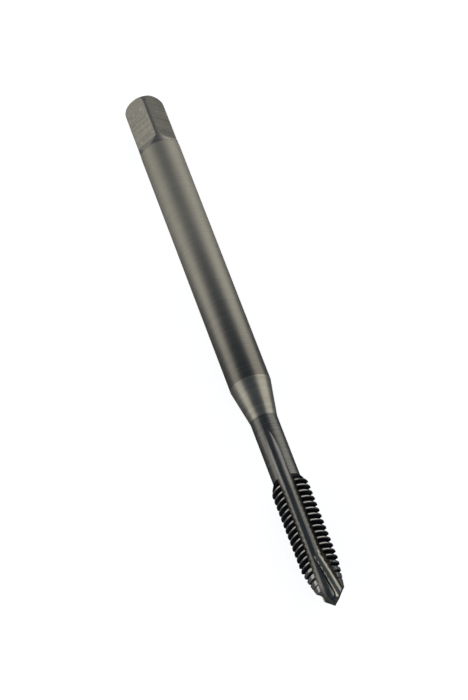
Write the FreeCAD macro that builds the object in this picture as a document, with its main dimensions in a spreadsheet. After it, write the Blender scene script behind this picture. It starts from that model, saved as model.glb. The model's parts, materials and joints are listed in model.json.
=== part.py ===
import FreeCAD, Part
import os
import re
import Sketcher

# Spiral-point machine tap for an M4 x 0.7 thread, ground from one piece of steel.
# It is drawn upright: the tip of its point at z = 0 and its axis along +Z up to the square
# end. It is then laid on its side, with the axis along +Y, the tip at -Y and the round
# shank resting on z = 0. The origin is in the middle of the footprint.

SIZES = (
    ("overall_length", 64.75, "tip of the point to the end of the square"),
    ("shank_diameter", 4.5, "round shank"),
    ("shank_start", 26.7, "tip to the lower end of the full shank"),
    ("neck_cone_length", 4.35, "taper between shank and neck"),
    ("neck_diameter", 2.98, "relieved neck above the thread"),
    ("thread_length", 14.9, "tip to the upper end of the thread, on the neck"),
    ("thread_run_out", 1.0, "slope from the thread's full height down to the neck"),
    ("thread_diameter", 4.06, "over the crests"),
    ("thread_pitch", 0.7, "advance of one turn, right-handed"),
    ("thread_depth", 0.43, "crest to root"),
    ("crest_width", 0.125, "flat on top of a thread"),
    ("flank_angle", 60, "between two flanks, degrees"),
    ("groove_lead_in", 0.5, "start of the thread groove, in front of the tip"),
    ("groove_overreach", 0.035, "reach of the groove's outline past the crests"),
    ("lead_length", 3.15, "tapered lead of the thread"),
    ("lead_diameter", 3.08, "front of the tapered lead"),
    ("point_angle", 90, "male centre point, degrees"),
    ("flute_count", 3, "straight flutes"),
    ("flute_radius", 0.8, "round bottom of a flute"),
    ("flute_core", 2.0, "diameter that the flutes leave"),
    ("flute_length", 14.5, "tip to where a flute starts to run out"),
    ("wheel_radius", 39, "grinding wheel at the flute's run-out"),
    ("wheel_sweep", 13, "angle that the run-out follows, degrees"),
    ("gun_radius", 0.7, "round bottom and ball end of a spiral-point cut"),
    ("gun_core", 1.27, "diameter that these cuts leave at the front of the lead"),
    ("gun_turn", 38, "cut from its flute at the front of the lead, degrees"),
    ("gun_length", 5.45, "tip to the middle of a cut's ball end"),
    ("gun_end_core", 1.95, "diameter that the ball ends leave"),
    ("gun_end_turn", 13.3, "ball end from its flute, degrees"),
    ("square_width", 3.4, "across the flats"),
    ("square_length", 5.85, "full flats"),
    ("square_corners", 4.43, "diameter over the square's round corners"),
    ("square_foot", 0.95, "slight taper from the shank to the round corners"),
    ("square_turn", 58, "a flat from the first flute, degrees"),
    ("flat_run_out", 0.9, "sloped facet below a flat, along the tool"),
    ("end_round", 1.0, "rounded edge of the square end"),
    ("cutter_margin", 1.0, "reach of a cutting shape past the metal"),
    ("rest_turn", -12.3, "first flute from straight up as the tool lies, degrees"),
)
FLATS = 4
TOLERANCE = 1e-6

# Worked out from the sizes above.
POINT_LENGTH = "(lead_diameter / 2 / tan(point_angle / 2 * 1 deg))"
LEAD_END = f"({POINT_LENGTH} + lead_length)"
FLAT_START = "(overall_length - square_length)"
FACET_SLOPE = "(2 * flat_run_out / (shank_diameter - square_width))"
FLUTE_AXIS = "(flute_core / 2 + flute_radius)"

# Sketcher's numbers for a sketch's own axes and for the points of an edge.
X_AXIS, Y_AXIS = -1, -2
START, END, CENTRE = range(1, 4)

doc = FreeCAD.newDocument("ThreadTap")
sheet = doc.addObject("Spreadsheet::Sheet", "Sizes")
for row, (alias, value, note) in enumerate(SIZES, start=1):
    sheet.set(f"A{row}", alias)
    sheet.set(f"B{row}", str(value))
    sheet.set(f"C{row}", note)
    sheet.setAlias(f"B{row}", alias)
doc.recompute()


def sized(expression):
    """Expression with the sheet's name before each of its aliases."""
    aliases = "|".join(alias for alias, _, _ in SIZES)
    return re.sub(rf"\b({aliases})\b", r"Sizes.\1", expression)


def number(expression):
    """Present value of an expression."""
    value = sheet.evalExpression(sized(expression))
    return float(getattr(value, "Value", value))


def vector(*terms):
    """Expression for a vector from three expressions."""
    return f"create(<<vector>>; {'; '.join(terms)})"


def origin_part(body, role):
    """One of the body's origin planes or axes."""
    return next(item for item in body.Origin.OriginFeatures if item.Role == role)


def new_sketch(body, name, plane, turn="0", lift="0"):
    """Sketch on one of the body's origin planes, turned about its upright or lifted."""
    sketch = body.newObject("Sketcher::SketchObject", name)
    sketch.AttachmentSupport = [(origin_part(body, plane), "")]
    sketch.MapMode = "FlatFace"
    upright = FreeCAD.Rotation(FreeCAD.Vector(0, 1, 0), number(turn))
    sketch.AttachmentOffset = FreeCAD.Placement(FreeCAD.Vector(0, 0, number(lift)), upright)
    if turn != "0":
        sketch.setExpression("AttachmentOffset.Rotation.Angle", sized(turn))
    if lift != "0":
        sketch.setExpression("AttachmentOffset.Base.z", sized(lift))
    return sketch


def add_size(sketch, kind, where, expression):
    """Dimension that follows an expression; a negative one is measured backwards."""
    value = number(expression)
    if value < 0:
        where = where[2:] + where[:2]
        expression = f"-1 * ({expression})"
    index = sketch.addConstraint(Sketcher.Constraint(kind, *where, abs(value)))
    sketch.setExpression(f"Constraints[{index}]", sized(expression))


def place_point(sketch, edge, end, across, along):
    """Fix a point of a sketch by two expressions, measured from the origin."""
    for kind, axis, expression in (("DistanceX", Y_AXIS, across), ("DistanceY", X_AXIS, along)):
        if expression == "0":
            sketch.addConstraint(Sketcher.Constraint("PointOnObject", edge, end, axis))
        else:
            add_size(sketch, kind, (X_AXIS, START, edge, end), expression)


def following(items):
    """Each item's neighbour in a closed round."""
    return items[1:] + items[:1]


def draw_outline(sketch, corners):
    """Closed outline through corners given as pairs of expressions."""
    points = [FreeCAD.Vector(number(across), number(along), 0) for across, along in corners]
    edges = [sketch.addGeometry(Part.LineSegment(start, end), False)
             for start, end in zip(points, following(points))]
    for edge, after in zip(edges, following(edges)):
        sketch.addConstraint(Sketcher.Constraint("Coincident", edge, END, after, START))
    for edge, (across, along) in zip(edges, corners):
        place_point(sketch, edge, START, across, along)


def draw_circle(sketch, across, along, radius):
    """Circle with its centre and radius given as expressions."""
    centre = FreeCAD.Vector(number(across), number(along), 0)
    circle = Part.Circle(centre, FreeCAD.Vector(0, 0, 1), number(radius))
    edge = sketch.addGeometry(circle, False)
    place_point(sketch, edge, CENTRE, across, along)
    add_size(sketch, "Radius", (edge,), radius)


def repeat_round(body, name, features, count):
    """Equal copies of cuts round the tool's axis."""
    pattern = body.newObject("PartDesign::PolarPattern", name)
    pattern.Originals = features
    pattern.Axis = (origin_part(body, "Z_Axis"), [""])
    pattern.Angle = 360
    pattern.Occurrences = round(number(count))
    if count != str(FLATS):
        pattern.setExpression("Occurrences", sized(count))
    body.Tip = pattern
    doc.recompute()


def turn_blank(body):
    """Point, tapered lead, thread, neck, taper, shank and square end as one turned profile."""
    outline = new_sketch(body, "BlankOutline", "XZ_Plane")
    draw_outline(outline, (
        ("0", "0"),
        ("lead_diameter / 2", POINT_LENGTH),
        ("thread_diameter / 2", LEAD_END),
        ("thread_diameter / 2", "thread_length - thread_run_out"),
        ("neck_diameter / 2", "thread_length"),
        ("neck_diameter / 2", "shank_start - neck_cone_length"),
        ("shank_diameter / 2", "shank_start"),
        ("shank_diameter / 2", f"{FLAT_START} - square_foot"),
        ("square_corners / 2", FLAT_START),
        ("square_corners / 2", "overall_length"),
        ("0", "overall_length"),
    ))
    doc.recompute()
    blank = body.newObject("PartDesign::Revolution", "Blank")
    blank.Profile = outline
    blank.ReferenceAxis = (outline, ["V_Axis"])
    blank.Angle = 360
    doc.recompute()
    rim = next(place for place, edge in enumerate(blank.Shape.Edges, start=1)
               if abs(edge.BoundBox.ZMin - number("overall_length")) < TOLERANCE)
    rounded = body.newObject("PartDesign::Fillet", "EndRound")
    rounded.Base = (blank, [f"Edge{rim}"])
    rounded.setExpression("Radius", sized("end_round"))
    doc.recompute()


def mill_square(body):
    """Four flats, each ending in a sloped facet on the shank."""
    outline = new_sketch(body, "FlatOutline", "XZ_Plane", turn="square_turn")
    outside = "shank_diameter / 2 + cutter_margin"
    draw_outline(outline, (
        ("square_width / 2", FLAT_START),
        (outside, f"{FLAT_START} - ({outside} - square_width / 2) * {FACET_SLOPE}"),
        (outside, "overall_length + cutter_margin"),
        ("square_width / 2", "overall_length + cutter_margin"),
    ))
    doc.recompute()
    flat = body.newObject("PartDesign::Pocket", "Flat")
    flat.Profile = outline
    flat.Midplane = True
    flat.setExpression("Length", sized("shank_diameter + 2 * cutter_margin"))
    doc.recompute()
    repeat_round(body, "Square", [flat], str(FLATS))


def grind_flutes(body):
    """Round-bottomed straight flutes that run out along the wheel's radius."""
    section = new_sketch(body, "FluteSection", "XY_Plane", lift="-1 * cutter_margin")
    draw_circle(section, FLUTE_AXIS, "0", "flute_radius")
    path = new_sketch(body, "FlutePath", "XZ_Plane")
    bend = "(wheel_radius - flute_radius)"
    axis, length = number(FLUTE_AXIS), number("flute_length")
    low = FreeCAD.Vector(axis, number("-1 * cutter_margin"), 0)
    high = FreeCAD.Vector(axis, length, 0)
    straight = path.addGeometry(Part.LineSegment(low, high), False)
    wheel = Part.Circle(FreeCAD.Vector(axis + number(bend), length, 0),
                        FreeCAD.Vector(0, 0, 1), number(bend))
    top, bottom = number("(180 - wheel_sweep) * pi / 180"), number("pi")
    run_out = path.addGeometry(Part.ArcOfCircle(wheel, top, bottom), False)
    place_point(path, straight, START, FLUTE_AXIS, "-1 * cutter_margin")
    place_point(path, straight, END, FLUTE_AXIS, "flute_length")
    path.addConstraint(Sketcher.Constraint("Coincident", straight, END, run_out, END))
    place_point(path, run_out, CENTRE, f"{FLUTE_AXIS} + {bend}", "flute_length")
    rise = f"flute_length + {bend} * sin(wheel_sweep * 1 deg)"
    add_size(path, "DistanceY", (X_AXIS, START, run_out, START), rise)
    doc.recompute()
    flute = body.newObject("PartDesign::SubtractivePipe", "Flute")
    flute.Profile = section
    flute.Spine = (path, ["Edge1", "Edge2"])
    doc.recompute()
    repeat_round(body, "Flutes", [flute], "flute_count")


def grind_spiral_point(body):
    """Slanting ball-ended cuts that lead from the flutes across the tapered lead to the point."""
    front, back = (
        [f"(({core} / 2 + gun_radius) * {ratio}({turn} * 1 deg))" for ratio in ("cos", "sin")]
        for core, turn in (("gun_core", "gun_turn"), ("gun_end_core", "gun_end_turn"))
    )
    out, aside = (f"({far} - {near})" for far, near in zip(back, front))
    rise = f"(gun_length - {POINT_LENGTH})"
    lean = f"atan(hypot({out}; {aside}) / {rise})"
    outline = body.newObject("Sketcher::SketchObject", "GunOutline")
    outline.AttachmentSupport = [(origin_part(body, "XZ_Plane"), "")]
    outline.MapMode = "FlatFace"
    middle = vector(back[0], "gun_length", f"-1 * {back[1]}")
    slant = f"create(<<rotation>>; {vector(f'-1 * {aside}', '0', f'-1 * {out}')}; {lean})"
    outline.setExpression("AttachmentOffset", sized(f"create(<<placement>>; {middle}; {slant})"))
    radius, reach = number("gun_radius"), f"((gun_length + cutter_margin) / cos({lean}))"
    corners = [FreeCAD.Vector(across, along, 0) for across, along in
               ((0, -number(reach)), (radius, -number(reach)), (radius, 0), (0, radius))]
    foot = outline.addGeometry(Part.LineSegment(corners[0], corners[1]), False)
    wall = outline.addGeometry(Part.LineSegment(corners[1], corners[2]), False)
    circle = Part.Circle(FreeCAD.Vector(), FreeCAD.Vector(0, 0, 1), radius)
    ball = outline.addGeometry(Part.ArcOfCircle(circle, 0, number("pi / 2")), False)
    middle_line = outline.addGeometry(Part.LineSegment(corners[3], corners[0]), False)
    edges = [foot, wall, ball, middle_line]
    for edge, after in zip(edges, following(edges)):
        outline.addConstraint(Sketcher.Constraint("Coincident", edge, END, after, START))
    outline.addConstraint(Sketcher.Constraint("Coincident", ball, CENTRE, X_AXIS, START))
    place_point(outline, foot, START, "0", f"-1 * {reach}")
    place_point(outline, wall, START, "gun_radius", f"-1 * {reach}")
    place_point(outline, wall, END, "gun_radius", "0")
    outline.addConstraint(Sketcher.Constraint("PointOnObject", ball, END, Y_AXIS))
    doc.recompute()
    cut = body.newObject("PartDesign::Groove", "GunCut")
    cut.Profile = outline
    cut.ReferenceAxis = (outline, ["V_Axis"])
    cut.Angle = 360
    doc.recompute()
    repeat_round(body, "SpiralPoint", [cut], "flute_count")


def cut_thread(body):
    """One right-handed groove that leaves a thread with narrow flat crests."""
    outline = new_sketch(body, "GrooveOutline", "XZ_Plane")
    lean = "tan(flank_angle / 2 * 1 deg)"
    root = "(thread_diameter / 2 - thread_depth)"
    outside = "(thread_diameter / 2 + groove_overreach)"
    wide = f"((thread_pitch - crest_width) / 2 + groove_overreach * {lean})"
    narrow = f"((thread_pitch - crest_width) / 2 - thread_depth * {lean})"
    draw_outline(outline, (
        (root, f"-1 * groove_lead_in - {narrow}"),
        (outside, f"-1 * groove_lead_in - {wide}"),
        (outside, f"-1 * groove_lead_in + {wide}"),
        (root, f"-1 * groove_lead_in + {narrow}"),
    ))
    doc.recompute()
    groove = body.newObject("PartDesign::SubtractiveHelix", "ThreadGroove")
    groove.Profile = outline
    groove.ReferenceAxis = (outline, ["V_Axis"])
    groove.Mode = "pitch-height-angle"
    groove.LeftHanded = False
    groove.setExpression("Pitch", sized("thread_pitch"))
    groove.setExpression("Height", sized("thread_length + groove_lead_in + thread_pitch"))
    groove.Angle = 0
    doc.recompute()


def thread_tap():
    body = doc.addObject("PartDesign::Body", "ThreadTap")
    body.Label = "thread_tap"
    turn_blank(body)
    mill_square(body)
    grind_flutes(body)
    grind_spiral_point(body)
    cut_thread(body)
    upright = FreeCAD.Rotation(FreeCAD.Vector(0, 0, 1), number("rest_turn - 90"))
    lying = FreeCAD.Rotation(FreeCAD.Vector(1, 0, 0), -90)
    body.Placement = FreeCAD.Placement(FreeCAD.Vector(), lying * upright)
    body.setExpression("Placement.Base.y", sized("-1 * overall_length / 2"))
    body.setExpression("Placement.Base.z", sized("shank_diameter / 2"))
    return body


parts = [thread_tap()]
doc.recompute()

for item in doc.Objects:
    if {"Invalid", "Error"} & set(item.State):
        raise SystemExit(f"{item.Label}: {item.State}")
os.makedirs("parts", exist_ok=True)
for part in parts:
    shape = part.Shape
    if shape.isNull() or not shape.isValid() or len(shape.Solids) != 1:
        raise SystemExit(f"{part.Label}: not one valid solid")
    shape.exportStep(f"parts/{part.Label}.step")
    print(part.Label, "volume", round(shape.Volume, 3), "box", shape.BoundBox)
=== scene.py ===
import json
import math
import bmesh
import bpy
from mathutils import Matrix, Vector

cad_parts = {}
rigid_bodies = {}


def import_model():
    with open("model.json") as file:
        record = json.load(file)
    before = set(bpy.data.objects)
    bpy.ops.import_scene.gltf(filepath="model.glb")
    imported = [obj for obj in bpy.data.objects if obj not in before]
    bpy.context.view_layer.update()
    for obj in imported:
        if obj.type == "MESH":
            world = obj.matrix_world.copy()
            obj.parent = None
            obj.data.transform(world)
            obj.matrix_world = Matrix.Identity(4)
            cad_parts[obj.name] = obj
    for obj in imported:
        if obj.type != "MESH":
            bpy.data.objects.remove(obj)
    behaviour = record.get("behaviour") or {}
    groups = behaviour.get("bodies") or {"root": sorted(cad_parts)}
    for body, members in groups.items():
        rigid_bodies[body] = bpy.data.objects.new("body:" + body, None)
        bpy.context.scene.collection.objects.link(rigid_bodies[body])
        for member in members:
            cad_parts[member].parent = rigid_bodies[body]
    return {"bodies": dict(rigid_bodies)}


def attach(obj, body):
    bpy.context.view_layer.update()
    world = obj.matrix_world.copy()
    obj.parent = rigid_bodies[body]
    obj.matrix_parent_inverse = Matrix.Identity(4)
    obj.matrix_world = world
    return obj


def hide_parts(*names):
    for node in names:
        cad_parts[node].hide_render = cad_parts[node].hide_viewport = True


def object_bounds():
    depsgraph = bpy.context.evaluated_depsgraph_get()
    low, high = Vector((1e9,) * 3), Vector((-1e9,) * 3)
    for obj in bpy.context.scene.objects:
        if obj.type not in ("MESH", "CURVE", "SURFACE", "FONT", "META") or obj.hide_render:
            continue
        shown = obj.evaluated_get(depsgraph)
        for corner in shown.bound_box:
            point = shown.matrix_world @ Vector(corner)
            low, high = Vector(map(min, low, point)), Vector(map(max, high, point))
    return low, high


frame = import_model()
cad_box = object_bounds()
MM = 0.001

# The tool lies along +Y with its tip at -Y. Its axis is half a shank above the floor.
LENGTH = (cad_box[1].y - cad_box[0].y) / MM
AXIS_HEIGHT = (cad_box[0].z + cad_box[1].z) / 2 / MM
SHANK_RADIUS = (cad_box[1].x - cad_box[0].x) / 2 / MM

# Sizes in millimetres and angles in degrees, as in the part. Places along the tool are measured
# from its tip.
POINT_LENGTH = 1.54
LEAD_END = 4.69
LEAD_RADIUS = 1.54
THREAD_END = 14.9
THREAD_RUN_OUT = 1.0
THREAD_RADIUS = 2.03
THREAD_PITCH = 0.7
THREAD_DEPTH = 0.43
CREST_WIDTH = 0.125
HALF_GROOVE = (THREAD_PITCH - CREST_WIDTH) / 2
GROOVE_LEAD_IN = 0.5
FLANK_SLOPE = math.tan(math.radians(30))
NECK_RADIUS = 1.49
CONE_START = 22.35
SHANK_START = 26.7
SQUARE_START = 58.9
CORNER_RADIUS = 2.215
END_ROUND = 1.0
FLATS = 4
FLAT_DISTANCE = 1.7
FLAT_RUN_OUT = 0.9
SQUARE_TURN = 58
FLUTES = 3
FLUTE_LENGTH = 14.5
WHEEL_RADIUS = 39
WHEEL_SWEEP = 13
GUN_LENGTH = 5.45
REST_TURN = -12.3

# Details that the part doesn't have: the crisp step at the shank's end and the depth below the
# crests down to which their brighter steel runs, a painted highlight that widens their lines.
SHANK_END = 57.95
STEP_LENGTH = 0.06
PAINTED_HIGHLIGHT_DEPTH = 0.035

# Sections of the ground cuts: the deepest point as distances aside of a flute's middle and out
# from the axis, then for each side the radii and the slopes up to which they hold, in degrees.
FLUTE_FLOOR = (-0.11, 1.0)
FLUTE_LEFT = ((0.66, 25), (1.04, 58), (0.1, 95))
FLUTE_RIGHT = ((0.9, 18), (0.98, 40), (0.98, 95))
GUN_FLOOR = (0.49, 0.62)
GUN_LEFT = ((0.35, 23), (1.0, 29), (0.5, 95))
GUN_RIGHT = ((0.73, 18), (0.75, 40), (0.35, 64))

# Courses of the cuts. A flute is deeper at the tip by its dip. The spiral-point cut (gun) drifts
# aside and out with its length, bends past the place of its deepest point, and shrinks over its
# end towards a point that is given from that deepest point.
FLUTE_DIP = 0.45
FLUTE_DIP_START = 2.2
GUN_FLOOR_PLACE = 3.2
GUN_DRIFT = (-0.155, 0.13)
GUN_BEND = -0.015
GUN_END = 1.25
GUN_END_POINT = (0.45, 0.6)

# Fineness of the modelled surface. The thread's rows are given from the edge of the groove's
# bottom and from its upper edge, and its turns start before the lead and end past the thread.
COLUMNS = 180
ROOT_ROWS = (-0.02, 0.01, 0.06, 0.13)
EDGE_ROWS = (-0.06, -0.02, 0, 0.02)
TURNS_BEFORE = 1
TURNS_PAST = 3
EDGE_SOFTNESS = 0.025
POINT_RINGS = (0.7, 0.4, 0.15)
ROUND_STEPS = 8
ARC_STEP = 3
WHEEL_STEPS = 40
GUN_STEPS = 8
GUN_END_STEPS = 16
SHARP_ANGLE = 28

# How far the cutting shapes stand out past the tool.
MARGIN = 1.0

# Material slots of the tool, in the order of tool_steels.
SHANK, CONE, NECK, SHADED_THREAD, CREST_AND_HIGHLIGHT, FLUTE, GUN, FLAT, FOOT, FACET = range(10)

# The photograph's camera, from the tool's outline in a picture of 468 x 700. The tip's place in
# the camera's frame is in metres.
PICTURE_HEIGHT = 700
SENSOR = 36
FOCAL_PIXELS = 2680
CLIP_START = 0.001
LEAN = math.radians(21.045)
TILT = math.radians(27.9)
TIP_IN_CAMERA = Vector((0.010226, -0.025829, -0.270353))

# Stage, in metres: half the floor's side, the distances from the tool between which the steel
# starts to reflect a white floor, and the sines of the heights at which a white horizon ends.
FLOOR_REACH = 3.0
WHITE_FLOOR = (0.06, 0.2)
WHITE_HORIZON = (0.04, 0.08)
FLOOR_COLOUR = (0.8, 0.8, 0.8, 1)
FLOOR_GLOW = 0.8
ROOM_COLOUR = (0.65, 0.8, 1.0, 1)
ROOM_STRENGTH = 0.19
LAMP_COLOUR = (1.0, 0.96, 0.88)
LAMP_DISTANCE = 0.4

# Grain of the steel's streaks, tints and spots, per metre along x, y and z.
RINGS = (160, 5600, 160)
FINE_RINGS = (110, 6500, 110)
LENGTHWISE = (5000, 250, 5000)
EVEN = (4000, 4000, 4000)
TINT_GRAIN = (260, 260, 260)
SPOT_GRAIN = (2600, 2600, 2600)

# Detail of these patterns and the noise values between which they fade in.
STREAK_DETAIL = 4
TINT_DETAIL = 3
SPOT_DETAIL = 1
NOISE_ROUGHNESS = 0.65
STREAK_LIMITS = (0.3, 0.7)
SPOT_LIMITS = (0.58, 0.7)

# The shank's paler and duller finish fades in between two places along Y, in metres, up to a
# share of the pale colour and an addition to the roughness.
PALE_PLACES = (-0.004, 0.016)
PALE_SHARE = 0.5
PALE_ROUGHNESS = 0.28

# Colour sockets of a Mix node.
MIX_FIRST = 6
MIX_SECOND = 7
MIX_RESULT = 2


def add_object(name, data):
    item = bpy.data.objects.new(name, data)
    bpy.context.scene.collection.objects.link(item)
    return item


def polar(radius, degrees, place):
    """Point in millimetres from its distance from the axis, its angle from the first flute
    and its place along the tool."""
    turn = math.radians(degrees + REST_TURN)
    return Vector((radius * math.sin(turn), place - LENGTH / 2,
                   AXIS_HEIGHT + radius * math.cos(turn)))


def flat_place(out, aside, place, degrees):
    """Point from its distances out along a direction and aside of it."""
    return polar(math.hypot(out, aside), degrees + math.degrees(math.atan2(aside, out)), place)


def soft_least(a, b):
    """Smaller of two radii, with the edge between their surfaces slightly rounded."""
    overlap = max(EDGE_SOFTNESS - abs(a - b), 0)
    return min(a, b) - overlap ** 2 / (4 * EDGE_SOFTNESS)


def envelope(place):
    """Radius of the tapered lead, the crests and the thread's run-out."""
    if place < LEAD_END:
        share = (place - POINT_LENGTH) / (LEAD_END - POINT_LENGTH)
        return LEAD_RADIUS + share * (THREAD_RADIUS - LEAD_RADIUS)
    share = (THREAD_END - place) / THREAD_RUN_OUT
    return NECK_RADIUS + min(share, 1) * (THREAD_RADIUS - NECK_RADIUS)


def groove(offset):
    """Radius of the thread groove at a distance from its middle."""
    flank = THREAD_RADIUS - (HALF_GROOVE - abs(offset)) / FLANK_SLOPE
    return max(flank, THREAD_RADIUS - THREAD_DEPTH)


def groove_offsets():
    """Rows across one turn of the groove, closer together at its edges."""
    root = HALF_GROOVE - THREAD_DEPTH * FLANK_SLOPE
    side = [root + step for step in ROOT_ROWS] + [HALF_GROOVE + step for step in EDGE_ROWS]
    return [-offset for offset in reversed(side)] + [0] + side + [THREAD_PITCH / 2]


def add_face(mesh, corners, slot):
    """Face through the corners that differ, if there are three of them."""
    distinct = list(dict.fromkeys(corners))
    if len(distinct) > 2 and not mesh.faces.get(distinct):
        face = mesh.faces.new(distinct)
        face.material_index = slot


def add_ring(mesh, radius, place):
    return [mesh.verts.new(polar(radius, 360 * column / COLUMNS, place))
            for column in range(COLUMNS)]


def join_rings(mesh, low, high, slot):
    for column in range(len(low)):
        after = (column + 1) % len(low)
        add_face(mesh, (low[column], low[after], high[after], high[column]), slot)


def thread_grid(mesh, starts, offsets, low_ring, high_ring):
    """Points on rows that climb by the pitch in a turn. Past a ring they are the ring's own."""
    grid = []
    for row, start in enumerate(starts):
        line = []
        offset = offsets[row % len(offsets)]
        for column in range(COLUMNS):
            place = start + THREAD_PITCH * column / COLUMNS
            if place <= POINT_LENGTH:
                line.append(low_ring[column])
            elif place >= THREAD_END:
                line.append(high_ring[column])
            else:
                radius = soft_least(envelope(place), groove(offset))
                line.append(mesh.verts.new(polar(radius, 360 * column / COLUMNS, place)))
        grid.append(line)
    return grid


def thread_slot(place, offset):
    """Crest steel, partly painted highlight, for the crests and their edges below the run-out;
    elsewhere the thread's steel, darkened as painted shade.
    """
    below_run_out = place < THREAD_END - THREAD_RUN_OUT
    if below_run_out and groove(offset) > envelope(place) - PAINTED_HIGHLIGHT_DEPTH:
        return CREST_AND_HIGHLIGHT
    return SHADED_THREAD


def add_thread(mesh, low_ring, high_ring):
    """Thread between two rings, on rows that follow its helix."""
    offsets = groove_offsets()
    first = math.floor(POINT_LENGTH / THREAD_PITCH) - TURNS_BEFORE
    turns = math.ceil((THREAD_END - POINT_LENGTH + GROOVE_LEAD_IN) / THREAD_PITCH)
    turns += TURNS_BEFORE + TURNS_PAST
    starts = [(first + turn) * THREAD_PITCH - GROOVE_LEAD_IN + offset
              for turn in range(turns) for offset in offsets]
    grid = thread_grid(mesh, starts, offsets, low_ring, high_ring)
    for row in range(len(starts) - 1):
        low = grid[row]
        high = grid[row + 1]
        over = row + len(offsets)
        if (row + 1) % len(offsets) == 0:
            offset = THREAD_PITCH / 2
        else:
            offset = (offsets[row % len(offsets)] + offsets[(row + 1) % len(offsets)]) / 2
        for column in range(COLUMNS):
            slot = thread_slot(starts[row] + THREAD_PITCH * column / COLUMNS, offset)
            if column + 1 < COLUMNS:
                add_face(mesh, (low[column], low[column + 1], high[column + 1], high[column]), slot)
            elif over + 1 < len(starts):
                add_face(mesh, (low[column], grid[over][0], grid[over + 1][0], high[column]), slot)


def add_tip(mesh, ring):
    """Centre point below the lead."""
    for share in POINT_RINGS:
        lower = add_ring(mesh, LEAD_RADIUS * share, POINT_LENGTH * share)
        join_rings(mesh, lower, ring, NECK)
        ring = lower
    apex = mesh.verts.new(polar(0, 0, 0))
    for column in range(COLUMNS):
        mesh.faces.new((apex, ring[(column + 1) % COLUMNS], ring[column])).material_index = NECK


def turned_profile():
    """Radius and place of the rings from the neck to the end of the square, with the slot of
    the surface below each. The step at the shank's end has the thread's painted-shade steel."""
    rings = [(NECK_RADIUS, CONE_START, NECK), (SHANK_RADIUS, SHANK_START, CONE),
             (SHANK_RADIUS, SHANK_END, SHANK), (CORNER_RADIUS, SHANK_END + STEP_LENGTH, SHADED_THREAD),
             (CORNER_RADIUS, LENGTH - END_ROUND, FOOT)]
    for step in range(1, ROUND_STEPS + 1):
        turn = math.radians(90 * step / ROUND_STEPS)
        rings.append((CORNER_RADIUS - END_ROUND * (1 - math.cos(turn)),
                      LENGTH - END_ROUND * (1 - math.sin(turn)), FOOT))
    return rings


def finish_mesh(mesh, name):
    """Object from a mesh, with all steels in its slots, so that cuts keep their materials."""
    bmesh.ops.recalc_face_normals(mesh, faces=mesh.faces)
    data = bpy.data.meshes.new(name)
    for material in steels:
        data.materials.append(material)
    mesh.to_mesh(data)
    mesh.free()
    return add_object(name, data)


def turned_body():
    """Blank with its thread, before the flats and the other cuts."""
    mesh = bmesh.new()
    low_ring = add_ring(mesh, LEAD_RADIUS, POINT_LENGTH)
    ring = add_ring(mesh, NECK_RADIUS, THREAD_END)
    add_tip(mesh, low_ring)
    add_thread(mesh, low_ring, ring)
    for radius, place, slot in turned_profile():
        above = add_ring(mesh, radius, place)
        join_rings(mesh, ring, above, slot)
        ring = above
    mesh.faces.new(ring).material_index = FOOT
    return finish_mesh(mesh, "tap_body")


def swept_cutter(name, rings, slot):
    """Closed cutting shape through rings of points."""
    mesh = bmesh.new()
    made = [[mesh.verts.new(point) for point in ring] for ring in rings]
    for low, high in zip(made, made[1:]):
        join_rings(mesh, low, high, slot)
    mesh.faces.new(list(reversed(made[0]))).material_index = slot
    mesh.faces.new(made[-1]).material_index = slot
    return finish_mesh(mesh, name)


def section(floor, left, right):
    """Outline of a ground cut as (aside, out) points: left wall, floor and right wall, each
    wall with its last slope run on past the tool."""
    sides = []
    for sign, arcs in ((-1, left), (1, right)):
        aside, out = floor
        slope = 0
        points = []
        for radius, limit in arcs:
            steps = math.ceil((limit - slope) / ARC_STEP)
            low = math.radians(slope)
            for step in range(1, steps + 1):
                high = math.radians(slope + (limit - slope) * step / steps)
                points.append((aside + sign * radius * (math.sin(high) - math.sin(low)),
                               out + radius * (math.cos(low) - math.cos(high))))
            aside, out = points[-1]
            slope = limit
        last = math.radians(slope)
        rise = SHANK_RADIUS + MARGIN - out
        points.append((aside + sign * rise * math.cos(last) / math.sin(last), out + rise))
        sides.append(points)
    return list(reversed(sides[0])) + [floor] + sides[1]


def flute_cutter(degrees):
    """Flute that runs out along the grinding wheel's edge."""
    outline = section(FLUTE_FLOOR, FLUTE_LEFT, FLUTE_RIGHT)
    slope = FLUTE_DIP / FLUTE_DIP_START
    path = [(-FLUTE_DIP - slope * MARGIN, -MARGIN, 0), (0, FLUTE_DIP_START, 0),
            (0, FLUTE_LENGTH, 0)]
    for step in range(1, WHEEL_STEPS + 1):
        turn = math.radians(WHEEL_SWEEP * step / WHEEL_STEPS)
        path.append((WHEEL_RADIUS * (1 - math.cos(turn)),
                     FLUTE_LENGTH + WHEEL_RADIUS * math.sin(turn), turn))
    floor = FLUTE_FLOOR[1]
    rings = [[flat_place(floor + lift + (out - floor) * math.cos(lean), aside,
                         place - (out - floor) * math.sin(lean), degrees)
              for aside, out in outline]
             for lift, place, lean in path]
    return swept_cutter("flute_cutter", rings, FLUTE)


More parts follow.
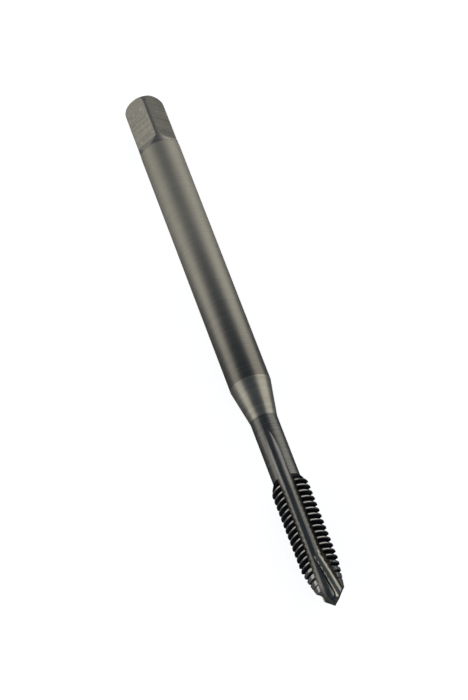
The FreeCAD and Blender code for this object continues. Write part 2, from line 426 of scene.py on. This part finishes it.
def gun_cutter(degrees):
    """Slanting cut of the spiral point, with a rounded upper end."""
    outline = section(GUN_FLOOR, GUN_LEFT, GUN_RIGHT)
    end_aside = GUN_FLOOR[0] + GUN_END_POINT[0]
    end_out = GUN_FLOOR[1] + GUN_END_POINT[1]
    stations = [(-MARGIN, 1.0)]
    stations += [(GUN_LENGTH * step / GUN_STEPS, 1.0) for step in range(GUN_STEPS + 1)]
    stations += [(GUN_LENGTH + GUN_END * step / GUN_END_STEPS, 1 - step / GUN_END_STEPS)
                 for step in range(1, GUN_END_STEPS)]
    rings = []
    for place, share in stations:
        run = min(place, GUN_LENGTH) - GUN_FLOOR_PLACE
        drift_aside = GUN_DRIFT[0] * run + GUN_BEND * max(run, 0) ** 2
        drift_out = GUN_DRIFT[1] * run
        rings.append([flat_place(end_out + drift_out + (out - end_out) * share,
                                 end_aside + drift_aside + (aside - end_aside) * share,
                                 place, degrees)
                      for aside, out in outline])
    return swept_cutter("gun_cutter", rings, GUN)


def flat_cutter(degrees):
    """Prism beyond one flat. Its first face cuts the sloped facet at the flat's foot."""
    outside = SHANK_RADIUS + MARGIN
    slope = FLAT_RUN_OUT / (SHANK_RADIUS - FLAT_DISTANCE)
    outline = ((FLAT_DISTANCE, SQUARE_START),
               (outside, SQUARE_START - slope * (outside - FLAT_DISTANCE)),
               (outside, LENGTH + MARGIN), (FLAT_DISTANCE, LENGTH + MARGIN))
    rings = [[flat_place(out, aside, place, degrees) for out, place in outline]
             for aside in (-outside, outside)]
    cutter = swept_cutter("flat_cutter", rings, FLAT)
    cutter.data.polygons[0].material_index = FACET
    return cutter


def cut_away(body, cutter):
    """Take a cutter's shape out of the body and delete the cutter."""
    change = body.modifiers.new(cutter.name, "BOOLEAN")
    change.operation = "DIFFERENCE"
    change.solver = "MANIFOLD"
    change.object = cutter
    change.material_mode = "INDEX"
    graph = bpy.context.evaluated_depsgraph_get()
    result = bpy.data.meshes.new_from_object(body.evaluated_get(graph))
    body.modifiers.clear()
    body.data = result
    bpy.data.objects.remove(cutter)


def model_tap():
    """Whole tool as one piece, made in millimetres and scaled to metres."""
    body = turned_body()
    for flat in range(FLATS):
        cut_away(body, flat_cutter(SQUARE_TURN + 360 * flat / FLATS))
    for flute in range(FLUTES):
        turn = 360 * flute / FLUTES
        cut_away(body, flute_cutter(turn))
        cut_away(body, gun_cutter(turn))
    body.name = "tap"
    body.data.transform(Matrix.Scale(MM, 4))
    body.data.shade_smooth()
    body.data.set_sharp_from_angle(angle=math.radians(SHARP_ANGLE))
    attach(body, next(iter(frame["bodies"])))
    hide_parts("thread_tap")


def set_camera():
    """Camera that sees the tool lean and recede as the photograph does, with level horizon."""
    along = Vector((-math.sin(LEAN) * math.cos(TILT), math.cos(LEAN) * math.cos(TILT),
                    -math.sin(TILT)))
    elevation = math.atan2(along.y, -along.z)
    up = Vector((0, math.cos(elevation), math.sin(elevation)))
    side = along.cross(up)
    turn = Matrix((side, along, up))
    data = bpy.data.cameras.new("camera")
    data.sensor_width = SENSOR
    data.lens = FOCAL_PIXELS * SENSOR / PICTURE_HEIGHT
    data.clip_start = CLIP_START
    camera = add_object("camera", data)
    tip = polar(0, 0, 0) * MM
    camera.matrix_world = Matrix.Translation(tip - turn @ TIP_IN_CAMERA) @ turn.to_4x4()
    bpy.context.scene.camera = camera


def new_material(name):
    material = bpy.data.materials.new(name)
    material.use_nodes = True
    material.node_tree.nodes.clear()
    return material, material.node_tree.nodes, material.node_tree.links


def combine(nodes, links, operation, first, second):
    """Join two values by a Math node."""
    step = nodes.new("ShaderNodeMath")
    step.operation = operation
    links.new(first, step.inputs[0])
    links.new(second, step.inputs[1])
    return step.outputs[0]


def spread(nodes, links, factor, limits, values):
    """Map a factor between two limits onto two values."""
    rule = nodes.new("ShaderNodeMapRange")
    rule.inputs["From Min"].default_value, rule.inputs["From Max"].default_value = limits
    rule.inputs["To Min"].default_value, rule.inputs["To Max"].default_value = values
    links.new(factor, rule.inputs["Value"])
    return rule.outputs[0]


def shown_share(nodes, links, reflected):
    """How far a ray sees the white background: fully from the camera, and as far as the
    reflected factor says in metal and glass."""
    path = nodes.new("ShaderNodeLightPath")
    bounced = combine(nodes, links, "MAXIMUM", path.outputs["Is Glossy Ray"],
                      path.outputs["Is Transmission Ray"])
    mirrored = combine(nodes, links, "MULTIPLY", bounced, reflected)
    return combine(nodes, links, "MAXIMUM", path.outputs["Is Camera Ray"], mirrored)


def set_floor():
    """Pale floor, white to the camera outside the tool's shadow, and white in the steel past
    the stretch that lies round the tool."""
    mesh = bpy.data.meshes.new("floor")
    corners = [(x * FLOOR_REACH, y * FLOOR_REACH, 0) for x, y in ((-1, -1), (1, -1), (1, 1), (-1, 1))]
    mesh.from_pydata(corners, [], [(0, 1, 2, 3)])
    floor = add_object("floor", mesh)
    material, nodes, links = new_material("white_floor")
    paper = nodes.new("ShaderNodeBsdfDiffuse")
    paper.inputs["Color"].default_value = FLOOR_COLOUR
    glow = nodes.new("ShaderNodeEmission")
    glow.inputs["Strength"].default_value = FLOOR_GLOW
    both = nodes.new("ShaderNodeAddShader")
    links.new(paper.outputs[0], both.inputs[0])
    links.new(glow.outputs[0], both.inputs[1])
    place = nodes.new("ShaderNodeTexCoord")
    distance = nodes.new("ShaderNodeVectorMath")
    distance.operation = "LENGTH"
    links.new(place.outputs["Object"], distance.inputs[0])
    far = spread(nodes, links, distance.outputs["Value"], WHITE_FLOOR, (0, 1))
    choice = nodes.new("ShaderNodeMixShader")
    links.new(shown_share(nodes, links, far), choice.inputs[0])
    links.new(paper.outputs[0], choice.inputs[1])
    links.new(both.outputs[0], choice.inputs[2])
    output = nodes.new("ShaderNodeOutputMaterial")
    links.new(choice.outputs[0], output.inputs[0])
    mesh.materials.append(material)


def set_world():
    """Dim bluish room above a white horizon, and white where the camera sees past the floor."""
    world = bpy.data.worlds.new("studio")
    world.use_nodes = True
    bpy.context.scene.world = world
    nodes, links = world.node_tree.nodes, world.node_tree.links
    room = nodes["Background"]
    room.inputs["Color"].default_value = ROOM_COLOUR
    room.inputs["Strength"].default_value = ROOM_STRENGTH
    white = nodes.new("ShaderNodeBackground")
    white.inputs["Color"].default_value = (1, 1, 1, 1)
    white.inputs["Strength"].default_value = 1.0
    direction = nodes.new("ShaderNodeTexCoord")
    parts = nodes.new("ShaderNodeSeparateXYZ")
    links.new(direction.outputs["Generated"], parts.inputs[0])
    low = spread(nodes, links, parts.outputs["Z"], WHITE_HORIZON, (1, 0))
    choice = nodes.new("ShaderNodeMixShader")
    links.new(shown_share(nodes, links, low), choice.inputs[0])
    links.new(room.outputs[0], choice.inputs[1])
    links.new(white.outputs[0], choice.inputs[2])
    links.new(choice.outputs[0], nodes["World Output"].inputs[0])


def add_panel(name, side, top, near, far, radiance):
    """Upright soft box beside the tool, from the floor up and between two places along it."""
    data = bpy.data.lights.new(name, "AREA")
    data.shape = "RECTANGLE"
    data.size = far - near
    data.size_y = top
    data.energy = radiance * math.pi * data.size * data.size_y
    data.color = LAMP_COLOUR
    panel = add_object(name, data)
    inward = Vector((-side, 0, 0))
    across = Vector((0, 1, 0))
    turn = Matrix((across, across.cross(inward), -inward)).transposed()
    middle = Vector((side * LAMP_DISTANCE, (near + far) / 2, top / 2))
    panel.matrix_world = Matrix.Translation(middle) @ turn.to_4x4()


def set_lights():
    """Two soft boxes that make the two bright bands."""
    add_panel("left_panel", side=-1, top=0.34, near=-0.25, far=0.65, radiance=1.42)
    add_panel("right_panel", side=1, top=0.55, near=0.08, far=0.85, radiance=1.86)


def noise(nodes, links, scale, detail):
    """Noise with its grain per metre along x, y and z."""
    place = nodes.new("ShaderNodeTexCoord")
    stretch = nodes.new("ShaderNodeMapping")
    stretch.inputs["Scale"].default_value = scale
    pattern = nodes.new("ShaderNodeTexNoise")
    pattern.inputs["Scale"].default_value = 1.0
    pattern.inputs["Detail"].default_value = detail
    pattern.inputs["Roughness"].default_value = NOISE_ROUGHNESS
    links.new(place.outputs["Object"], stretch.inputs[0])
    links.new(stretch.outputs[0], pattern.inputs["Vector"])
    return pattern.outputs[0]


def blend(nodes, links, factor, first, second):
    """Mix two colours, each a node's output or a constant."""
    mix = nodes.new("ShaderNodeMix")
    mix.data_type = "RGBA"
    links.new(factor, mix.inputs[0])
    for socket, colour in ((mix.inputs[MIX_FIRST], first), (mix.inputs[MIX_SECOND], second)):
        if isinstance(colour, tuple):
            socket.default_value = (*colour, 1)
        else:
            links.new(colour, socket)
    return mix.outputs[MIX_RESULT]


def steel(name, colours, grain, roughness, relief, edge=1.0, tint=None, pale=None, spots=None):
    """Ground steel: streaks of two colours with their own roughness and relief, and an edge
    reflection. It may have a broad tint, light spots, and a pale finish towards the square."""
    material, nodes, links = new_material(name)
    streaks = noise(nodes, links, grain, STREAK_DETAIL)
    streak_share = spread(nodes, links, streaks, STREAK_LIMITS, (0, 1))
    colour = blend(nodes, links, streak_share, *colours)
    rough = spread(nodes, links, streaks, STREAK_LIMITS, roughness)
    if tint:
        broad = noise(nodes, links, TINT_GRAIN, TINT_DETAIL)
        tint_share = spread(nodes, links, broad, STREAK_LIMITS, (0, 1))
        colour = blend(nodes, links, tint_share, colour, tint)
    if pale:
        place = nodes.new("ShaderNodeTexCoord")
        parts = nodes.new("ShaderNodeSeparateXYZ")
        links.new(place.outputs["Object"], parts.inputs[0])
        pale_share = spread(nodes, links, parts.outputs["Y"], PALE_PLACES, (0, PALE_SHARE))
        pale_colour = blend(nodes, links, streak_share, *pale)
        colour = blend(nodes, links, pale_share, colour, pale_colour)
        extra = spread(nodes, links, parts.outputs["Y"], PALE_PLACES, (0, PALE_ROUGHNESS))
        rough = combine(nodes, links, "ADD", rough, extra)
    if spots:
        specks = noise(nodes, links, SPOT_GRAIN, SPOT_DETAIL)
        spot_share = spread(nodes, links, specks, SPOT_LIMITS, (0, 1))
        colour = blend(nodes, links, spot_share, colour, spots)
    bump = nodes.new("ShaderNodeBump")
    bump.inputs["Distance"].default_value = relief
    links.new(streaks, bump.inputs["Height"])
    metal = nodes.new("ShaderNodeBsdfPrincipled")
    metal.inputs["Metallic"].default_value = 1.0
    metal.inputs["Specular Tint"].default_value = (edge, edge, edge, 1)
    links.new(colour, metal.inputs["Base Color"])
    links.new(rough, metal.inputs["Roughness"])
    links.new(bump.outputs[0], metal.inputs["Normal"])
    output = nodes.new("ShaderNodeOutputMaterial")
    links.new(metal.outputs[0], output.inputs[0])
    return material


def tool_steels():
    """Materials in the order of the tool's slots."""
    return (
        steel("shank_steel", ((0.108, 0.104, 0.095), (0.17, 0.162, 0.147)), RINGS, (0.33, 0.39),
              5e-6, edge=0.7, tint=(0.155, 0.147, 0.128),
              pale=((0.505, 0.482, 0.415), (0.62, 0.592, 0.51))),
        steel("cone_steel", ((0.213, 0.204, 0.174), (0.308, 0.293, 0.254)), RINGS, (0.33, 0.39),
              4e-6, edge=0.7),
        steel("neck_steel", ((0.096, 0.095, 0.091), (0.158, 0.154, 0.144)), RINGS, (0.34, 0.4),
              4e-6, edge=0.6),
        # Darkened far below the other steels as painted shade in the thread's grooves.
        steel("shaded_thread_steel", ((0.022, 0.022, 0.025), (0.046, 0.047, 0.053)), EVEN, (0.4, 0.5),
              2e-6, edge=0.3),
        # Brighter than the shank's steel, partly the crests' own ground steel and partly painted
        # highlight.
        steel("crest_and_highlight_steel", ((0.2, 0.196, 0.188), (0.285, 0.279, 0.266)), EVEN, (0.16, 0.22),
              1e-6, edge=0.6),
        steel("flute_steel", ((0.12, 0.118, 0.112), (0.185, 0.182, 0.172)), LENGTHWISE, (0.27, 0.34),
              2e-6, edge=0.6),
        steel("gun_steel", ((0.25, 0.243, 0.208), (0.36, 0.35, 0.302)), LENGTHWISE, (0.22, 0.29),
              2e-6, edge=0.25),
        steel("flat_steel", ((0.09, 0.088, 0.077), (0.262, 0.252, 0.222)), FINE_RINGS, (0.31, 0.38),
              8e-6, edge=0.7, tint=(0.155, 0.152, 0.133), spots=(0.225, 0.212, 0.188)),
        steel("foot_steel", ((0.2, 0.192, 0.178), (0.3, 0.288, 0.262)), RINGS, (0.44, 0.52),
              5e-6, edge=0.8),
        steel("facet_steel", ((0.33, 0.325, 0.29), (0.4, 0.39, 0.35)), RINGS, (0.5, 0.58), 4e-6),
    )


set_camera()
set_floor()
set_world()
set_lights()
steels = tool_steels()
model_tap()
bpy.context.scene.view_settings.view_transform = "Standard"
